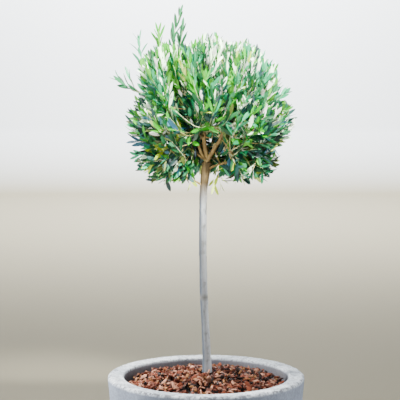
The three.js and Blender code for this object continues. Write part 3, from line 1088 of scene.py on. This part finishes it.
def build_twigs(shoots, rng):
    """Makes the twigs and the shoots' stalks, and returns the shoots that keep clear of the openings."""
    boughs = bough_limbs()
    bases = np.array([shoot["base"] for shoot in shoots])
    branches, twigs, twig_of_shoot = grow_limbs(boughs, bases, rng)
    bundle = Bundle()
    for limb in branches + twigs:
        bundle.add(*tube(limb.path, limb.radii, 6), 0 if rng.uniform() < 0.5 else 1)
    grown = []
    for shoot, group in zip(shoots, twig_of_shoot):
        parent = twigs[group] if shoot["kind"] is None else nearest_limb(boughs + twigs, shoot["base"])
        shoot["path"] = shoot_path(parent, shoot)
        if shoot["kind"] is None and any(in_gap(point) for point in shoot["path"]):
            continue
        grown.append(shoot)
        widths = np.linspace(TWIG_TIP_RADIUS * 1.2, TWIG_TIP_RADIUS * 0.55, len(shoot["path"]))
        kind = 2 if height_share(shoot["tip"][2]) > 0.45 or rng.uniform() < 0.5 else 0
        bundle.add(*tube(shoot["path"], widths, 5), kind)
    materials = [twig_material(name, colour) for name, colour in TWIG_COLOURS.items()]
    joined = bundle.build("twigs", materials, sharp=80)
    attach(joined, "root")
    return grown


def shoot_path(twig, shoot):
    """A shoot leaves its twig and swings round to its own direction."""
    start = twig.path[twig.leave_for(shoot["base"], 0.5)]
    return even_spacing(swing(start, shoot["base"], shoot["tip"], 12), 0.010)


# ---- Leaves ----

# How a blade runs: share of its length and share of its full width there.
LEAF_STATIONS = [(0.00, 0.10), (0.12, 0.20), (0.36, 0.84), (0.62, 1.00), (0.85, 0.72), (1.00, 0.12)]
BLADE_THICKNESS = 0.0005
# Whatever their spray, how many leaves have a kind of their own, and how many at the top are silvery, a
# painted highlight where light falls most.
STRAY_LEAVES = 0.45
PALE_LEAVES = 0.12
# The leaves are joined into this many meshes, one above the other.
LEAF_PIECES = 6

# Upper side and under side.
LEAF_KINDS = {
    "fresh": (rgb(40, 132, 14), rgb(84, 160, 50)),
    "mint": (rgb(8, 122, 76), rgb(62, 168, 116)),
    "green": (rgb(7, 68, 30), rgb(40, 112, 68)),
    # Silver: the pale underside is real, the near-white upper side is a painted highlight.
    "silver": (rgb(214, 246, 204), rgb(252, 255, 246)),
    "olive": (rgb(60, 74, 24), rgb(114, 130, 70)),
    "deep": (rgb(6, 40, 36), rgb(34, 74, 68)),
    "blue": (rgb(18, 60, 76), rgb(66, 116, 138)),
    "yellow": (rgb(140, 160, 34), rgb(190, 206, 106)),
}


def spray_kind(shoot, rng):
    """A kind of leaf for a shoot: fresh and silvery above, darker and bluer below and inside; partly the
    leaves' own age, partly painted highlight above and painted shade below and inside.
    """
    if shoot["kind"]:
        return shoot["kind"]
    share = height_share(shoot["tip"][2])
    # Inner sprays are mostly dark kinds: partly older leaves, partly painted shade.
    if shoot["inner"]:
        weights = {"deep": 0.62, "green": 0.18, "blue": 0.14, "olive": 0.06}
    elif share > 0.62:
        weights = {
            "fresh": 0.31, "mint": 0.26, "green": 0.26, "silver": 0.11, "yellow": 0.02, "deep": 0.04,
        }
    elif share > 0.36:
        weights = {
            "fresh": 0.19, "mint": 0.11, "green": 0.26, "silver": 0.06, "olive": 0.06, "deep": 0.24,
            "blue": 0.05, "yellow": 0.03,
        }
    else:
        weights = {
            "fresh": 0.10, "mint": 0.10, "green": 0.26, "silver": 0.02, "olive": 0.14, "deep": 0.26,
            "blue": 0.08, "yellow": 0.04,
        }
    names = list(weights)
    chances = np.array([weights[name] for name in names])
    return names[int(rng.choice(len(names), p=chances / chances.sum()))]


class LeafBatch:
    """Blades gathered as plain numbers, turned into one mesh at the end."""

    def __init__(self):
        self.rows = []

    def add(self, place, direction, facing, length, width, arch, fold, kind):
        self.rows.append((*place, *direction, *facing, length, width, arch, fold, kind))

    def build(self, name, materials):
        rows = np.array(self.rows)
        place, direction, facing = rows[:, 0:3], rows[:, 3:6], rows[:, 6:9]
        length, width, arch, fold, kind = rows[:, 9:14].T
        direction = direction / np.linalg.norm(direction, axis=1, keepdims=True)
        facing = facing - direction * np.sum(facing * direction, axis=1, keepdims=True)
        facing /= np.linalg.norm(facing, axis=1, keepdims=True)
        side = np.cross(direction, facing)
        count, stations = len(rows), len(LEAF_STATIONS)
        vertices = np.zeros((count, stations, 4, 3))
        for i, (along, wide) in enumerate(LEAF_STATIONS):
            droop = arch * length * along ** 2
            middle = place + direction * (length * along)[:, None] - facing * droop[:, None]
            half = width * wide / 2
            out = side * (half * np.cos(fold))[:, None]
            lift = facing * (half * np.sin(fold))[:, None]
            thick = facing * (BLADE_THICKNESS * (0.5 + wide / 2))
            vertices[:, i, 0] = middle - out + lift
            vertices[:, i, 1] = middle
            vertices[:, i, 2] = middle + out + lift
            vertices[:, i, 3] = middle - thick
        last = 4 * (stations - 1)
        faces = [face for low in range(0, last, 4) for face in band(low, low + 4, 4)]
        faces += [[3, 2, 1, 0], [last, last + 1, last + 2, last + 3]]
        is_under = [0, 0, 1, 1] * (stations - 1) + [1, 1]
        first_vertices = np.arange(count) * stations * 4
        faces = (np.array(faces)[None] + first_vertices[:, None, None]).reshape(-1, 4).tolist()
        kinds = (2 * kind[:, None] + np.array(is_under)[None]).reshape(-1)
        leaves = add_object(name, vertices.reshape(-1, 3), faces, materials, kinds, sharp=70)
        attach(leaves, "root")
        return leaves


def leaf_kind(shoot, kind, share_up, rng):
    """The number of a leaf's kind: mostly its spray's."""
    kinds = list(LEAF_KINDS)
    if rng.uniform() < STRAY_LEAVES:
        kind = kinds.index(spray_kind(shoot, rng))
    # Painted highlight: more silvery leaves towards the head's lit top.
    if rng.uniform() < PALE_LEAVES * share_up and not (shoot["inner"] or shoot["kind"]):
        kind = kinds.index("silver")
    return kind


def has_room(shoot, foot, tip, share_up, rng):
    """True for a leaf that keeps out of the openings and inside the head's outline."""
    if in_gap(tip) or in_gap(foot):
        return False
    reach = LEAF_DEPTHS[0] + (LEAF_DEPTHS[1] - LEAF_DEPTHS[0]) * share_up
    if shoot["kind"] is None and (tip[2] < LOWEST_LEAF or head_depth(tip) > reach):
        return False
    return not past_shoulder(tip, rng.uniform(-0.004, 0.010))


def along_path(path, lengths, at):
    """The point of a path a given way along it."""
    return np.array([np.interp(at, lengths, path[:, axis]) for axis in range(3)])


def leaf_pairs(shoot, batch, rng):
    """Leaves stand in opposite pairs, each pair a quarter turn from the last."""
    path = shoot["path"]
    lengths = path_lengths(path)
    total = lengths[-1]
    share_up = height_share(shoot["tip"][2])
    leafy = min(shoot["length"] * (1.05 if share_up > 0.5 else 0.80), total)
    kind = list(LEAF_KINDS).index(spray_kind(shoot, rng))
    turn = rng.uniform(0, math.pi)
    at = total - leafy + 0.006
    size = rng.uniform(0.90, 1.12) * shoot["leaf_size"]
    while at < total + 0.001:
        share = (at - (total - leafy)) / leafy
        here = along_path(path, lengths, at)
        axis = here - along_path(path, lengths, max(at - 0.01, 0))
        axis /= np.linalg.norm(axis) + 1e-9
        first = np.cross(axis, np.array([0.31, 0.93, 0.2]))
        first /= np.linalg.norm(first)
        second = np.cross(axis, first)
        for side in (0, math.pi):
            if rng.uniform() < MISSING_LEAVES:
                continue
            angle = turn + side + rng.normal(0, 0.22)
            away = first * math.cos(angle) + second * math.sin(angle)
            # Leaves lean further out at the shoot's foot, and reach up more at the head's top.
            lean = math.radians(rng.normal(48 - 26 * share - 10 * share_up, 9))
            direction = axis * math.cos(lean) + away * math.sin(lean)
            direction[2] += (0.46 * share_up - 0.06) * rng.uniform(0.4, 1.2) + rng.normal(0, 0.10)
            facing = axis * math.sin(lean) - away * math.cos(lean)
            facing = facing + rng.normal(0, 0.42, 3)
            # The youngest leaves, at the shoot's tip, are shorter.
            length = size * rng.uniform(*LEAF_LENGTHS) * (1.0 - 0.25 * share ** 3)
            width = length * rng.uniform(*LEAF_WIDTHS) * (1.00 - 0.27 * share_up)
            arch = rng.normal(0.05, 0.07)
            fold = math.radians(rng.uniform(4, 20))
            own = leaf_kind(shoot, kind, share_up, rng)
            if has_room(shoot, here, here + direction * length, share_up, rng):
                batch.add(here, direction, facing, length, width, arch, fold, own)
        turn += math.pi / 2 + rng.normal(0, 0.12)
        # Pairs stand closer towards the shoot's tip and the head's top.
        step = rng.uniform(0.009, 0.0145) * (1.15 - 0.35 * share)
        at += step * (1.22 - 0.42 * share_up) * shoot["sparse"]


def leaf_materials():
    materials = []
    for name, (upper, under) in LEAF_KINDS.items():
        materials.append(Shader(f"leaf_{name}_upper", upper, 0.42, 0.5).material)
        materials.append(Shader(f"leaf_{name}_under", under, 0.62, 0.35).material)
    return materials


def build_head():
    rng = np.random.default_rng(HEAD_SEED)
    shoots = build_twigs(scatter_shoots(rng), rng)
    materials = leaf_materials()
    batches = [LeafBatch() for _ in range(LEAF_PIECES)]
    for shoot in shoots:
        level = int(height_share(shoot["tip"][2]) * LEAF_PIECES)
        leaf_pairs(shoot, batches[min(level, LEAF_PIECES - 1)], rng)
    pieces = [batch.build(f"leaves_{level}", materials) for level, batch in enumerate(batches)]
    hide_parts(*FOLIAGE_NODES, *SHOOT_NODES)


# ---- Scene ----


add_camera()
add_stage()
add_lights()
build_planter()
build_mulch_bed()
build_chips()
build_stem()
build_boughs()
build_head()

soil = Shader("potting_soil", rgb(52, 38, 28), 0.95, specular=0.2)
soil.bump(soil.noise(120, 5, 0.6), 0.8, 0.003)
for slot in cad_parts["potting_soil"].material_slots:
    slot.material = soil.material
